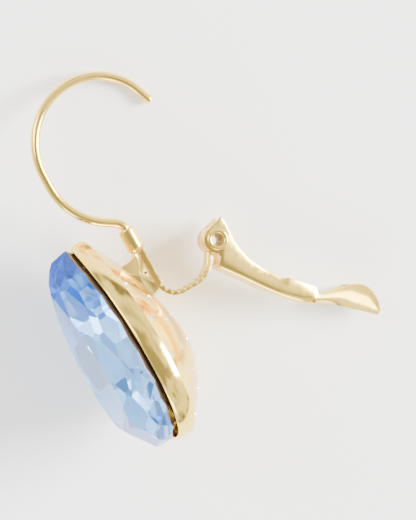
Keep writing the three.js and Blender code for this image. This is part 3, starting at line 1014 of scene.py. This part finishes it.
def lever_leaf():
    """The leaf-shaped end, folded along its spine, with its wings bowed outwards."""
    thickness = 0.3
    rings = []
    for along, spine, edge, reach in spread(LEAF, 0.22):
        rise = spine - edge
        wing = math.hypot(rise, reach)
        ny, nz = rise / wing, reach / wing
        in_y, in_z = reach - thickness * ny * 0.6, edge - thickness * nz * 0.6
        valley = spine - min(thickness * (wing / reach), 0.75 * rise + 0.12)
        belly = 0.1 * reach

        def wing_line(y, z, high):
            """Points from an edge up to just short of the spine, bowed outwards."""
            line = []
            for t in (0.0, 0.25, 0.5, 0.75):
                bow = belly * 4 * t * (1 - t)
                line.append((y * (1 - t) + bow * ny, z + (high - z) * t + bow * nz))
            return line

        outer, inner = wing_line(reach, edge, spine), wing_line(in_y, in_z, valley)
        ring = outer + [(0, spine)] + [(-y, z) for y, z in reversed(outer)]
        ring += [(-y, z) for y, z in inner] + [(0, valley)] + list(reversed(inner))
        rings.append([Vector((along, y, z)) for y, z in ring])
    return strip("leaf", rings)


class EARRING_OT_lever(bpy.types.Operator):
    """Fold the lever's channel, bridge and leaf, and open it on its hinge"""

    bl_idname = "earring.lever"
    bl_label = "Build the lever"

    def execute(self, context):
        walls = softened(lever_channel(), 0.05, 40)
        walls = combine(walls, cross_pin(0.74, 6, 0, 0), "DIFFERENCE")
        # Painted shade: faces inside the channel and under its back take the dull ochre.
        for face in walls.polygons:
            x, y, z = face.center
            inward = face.normal.y * y < -0.05 or (face.normal.z < -0.5 and z > 1.6)
            face.material_index = 1 if inward else 0
        place = Matrix.Translation(HINGE) @ Matrix.Rotation(LEVER_OPEN, 4, "Y")
        smooth = gilt("Gilt")
        new_piece("clasp_channel", walls, "lever", "lever", [smooth, gilt_painted_shade()], 38, place)
        new_piece("clasp_bridge", lever_bridge(), "lever", "lever", [smooth], 38, place)
        new_piece("clasp_leaf", lever_leaf(), "lever", "lever", [smooth], 40, place)
        return {"FINISHED"}


# ---------------------------------------------------------------- the stage

# The camera's way back and its way right, in the worn frame, how far it stands off, and the height it sees.
VIEW_BACK, VIEW_RIGHT = Vector((0.214, 0.973, 0.089)), Vector((-0.8442, 0.2403, -0.479))
VIEW_DISTANCE, VIEW_HEIGHT = 0.45, 0.0455
# Lamps: where each stands, its size, its power and its colour.
LAMPS = {
    "key": ((0.62, 0.2, 0.34), (0.4, 0.3), 30.0, (1.0, 0.985, 0.96)),
    "fill": ((-0.5, 0.3, 0.45), (0.3, 0.6), 4.0, (1.0, 0.98, 0.95)),
    "front": ((-0.1, -0.6, 0.35), (0.6, 0.25), 4.5, (0.97, 0.985, 1.0)),
}
# The room's light from low to high: how far up each step lies, and its brightness.
ROOM_STEPS = ((0.0, 0.1), (0.14, 0.16), (0.25, 1.0), (0.48, 0.9), (0.6, 0.42), (0.74, 1.0), (0.9, 0.26))


def soft_light(name, place, target, size, power, colour):
    """A large soft lamp aimed at a point."""
    data = bpy.data.lights.new(name, "AREA")
    data.shape = "RECTANGLE"
    data.size, data.size_y = size
    data.energy = power
    data.color = colour
    lamp = bpy.data.objects.new(name, data)
    lamp.location = place
    lamp.rotation_euler = (Vector(target) - Vector(place)).to_track_quat("-Z", "Y").to_euler()
    bpy.context.scene.collection.objects.link(lamp)


def room_light(tree):
    """Soft light from a pale room: bright and dim bands from the floor to overhead, broken into patches."""
    nodes, links, background = tree.nodes, tree.links, tree.nodes["Background"]
    sky = nodes.new("ShaderNodeTexCoord")
    parts = nodes.new("ShaderNodeSeparateXYZ")
    clutter = nodes.new("ShaderNodeTexNoise")
    clutter.inputs["Scale"].default_value = 3.2
    clutter.inputs["Detail"].default_value = 1.0
    lower = nodes.new("ShaderNodeMath")
    lower.operation = "SUBTRACT"
    lower.inputs[1].default_value = 0.45
    shift = nodes.new("ShaderNodeMath")
    shift.operation = "MULTIPLY_ADD"
    shift.inputs[1].default_value = 0.9
    ramp = nodes.new("ShaderNodeValToRGB")
    for place, _ in ROOM_STEPS[2:]:
        ramp.color_ramp.elements.new(place)
    for element, (place, level) in zip(ramp.color_ramp.elements, ROOM_STEPS):
        element.position = place
        element.color = (level, level * 0.99, level * 0.975, 1)
    links.new(sky.outputs["Generated"], parts.inputs["Vector"])
    links.new(sky.outputs["Generated"], clutter.inputs["Vector"])
    links.new(parts.outputs["Z"], lower.inputs[0])
    links.new(clutter.outputs["Fac"], shift.inputs[0])
    links.new(lower.outputs[0], shift.inputs[2])
    links.new(shift.outputs[0], ramp.inputs["Fac"])
    links.new(ramp.outputs["Color"], background.inputs["Color"])
    background.inputs["Strength"].default_value = 2.3


def view_from_front(middle):
    """The camera, which looks down on the earring as it lies."""
    turned = WORN.to_3x3().normalized()
    away = (turned @ VIEW_BACK).normalized()
    right = (turned @ VIEW_RIGHT).normalized()
    up = away.cross(right).normalized()
    right = up.cross(away)
    data = bpy.data.cameras.new("camera")
    data.sensor_width = 36
    data.lens = 36 * VIEW_DISTANCE / VIEW_HEIGHT
    data.clip_start, data.clip_end = 0.01, 10
    place = Matrix((right, up, away)).transposed().to_4x4()
    place.translation = Vector((middle.x, middle.y, middle.z - 0.002)) + away * VIEW_DISTANCE
    camera = bpy.data.objects.new("camera", data)
    camera.matrix_world = place
    bpy.context.scene.collection.objects.link(camera)
    bpy.context.scene.camera = camera


class EARRING_OT_stage(bpy.types.Operator):
    """Lay the pale floor and set the soft lights and the camera"""

    bl_idname = "earring.stage"
    bl_label = "Build the stage"

    def execute(self, context):
        low, high = (Vector(corner) for corner in CAD_BOX)
        middle = (low + high) / 2
        reach, under = 1.2, low.z - 0.00002
        corners = ((-reach, -reach), (reach, -reach), (reach, reach), (-reach, reach))
        sheet = mesh_of("floor", [(x, y, under) for x, y in corners], [(0, 1, 2, 3)])
        sheet.materials.append(floor_surface())
        floor = bpy.data.objects.new("floor", sheet)
        bpy.context.scene.collection.objects.link(floor)
        view_from_front(middle)
        for name, (place, size, power, colour) in LAMPS.items():
            soft_light(name, place, middle, size, power, colour)
        world = bpy.data.worlds.new("room")
        bpy.context.scene.world = world
        world.use_nodes = True
        room_light(world.node_tree)
        return {"FINISHED"}


class EARRING_PT_sidebar(bpy.types.Panel):
    """The earring's settings and build buttons"""

    bl_label = "Earring"
    bl_idname = "EARRING_PT_sidebar"
    bl_space_type = "VIEW_3D"
    bl_region_type = "UI"
    bl_category = "Earring"

    def draw(self, context):
        for group, names in (
            (context.scene.earring_metal, ("gilding", "polish")),
            (context.scene.earring_crystal, ("tint", "foil", "painted_glow", "index")),
            (context.scene.earring_parts, ("wire", "pin_hole", "notch")),
            (context.scene.earring_stage, ("floor",)),
        ):
            for name in names:
                self.layout.prop(group, name)
        for builder in BUILDERS:
            self.layout.operator(builder.bl_idname)


GROUPS = {
    "earring_metal": MetalSettings,
    "earring_crystal": CrystalSettings,
    "earring_parts": PartSettings,
    "earring_stage": StageSettings,
}
BUILDERS = (
    EARRING_OT_stage,
    EARRING_OT_stone,
    EARRING_OT_setting,
    EARRING_OT_ear_wire,
    EARRING_OT_hinge_tube,
    EARRING_OT_lever,
)


def register():
    for name, group in GROUPS.items():
        bpy.utils.register_class(group)
        setattr(bpy.types.Scene, name, PointerProperty(type=group))
    for builder in BUILDERS:
        bpy.utils.register_class(builder)
    bpy.utils.register_class(EARRING_PT_sidebar)


def unregister():
    bpy.utils.unregister_class(EARRING_PT_sidebar)
    for builder in reversed(BUILDERS):
        bpy.utils.unregister_class(builder)
    for name, group in GROUPS.items():
        delattr(bpy.types.Scene, name)
        bpy.utils.unregister_class(group)


def main():
    register()
    bpy.ops.earring.stage()
    bpy.ops.earring.stone()
    bpy.ops.earring.setting()
    bpy.ops.earring.ear_wire()
    bpy.ops.earring.hinge_tube()
    bpy.ops.earring.lever()
    bpy.context.view_layer.update()


if __name__ == "__main__":
    main()
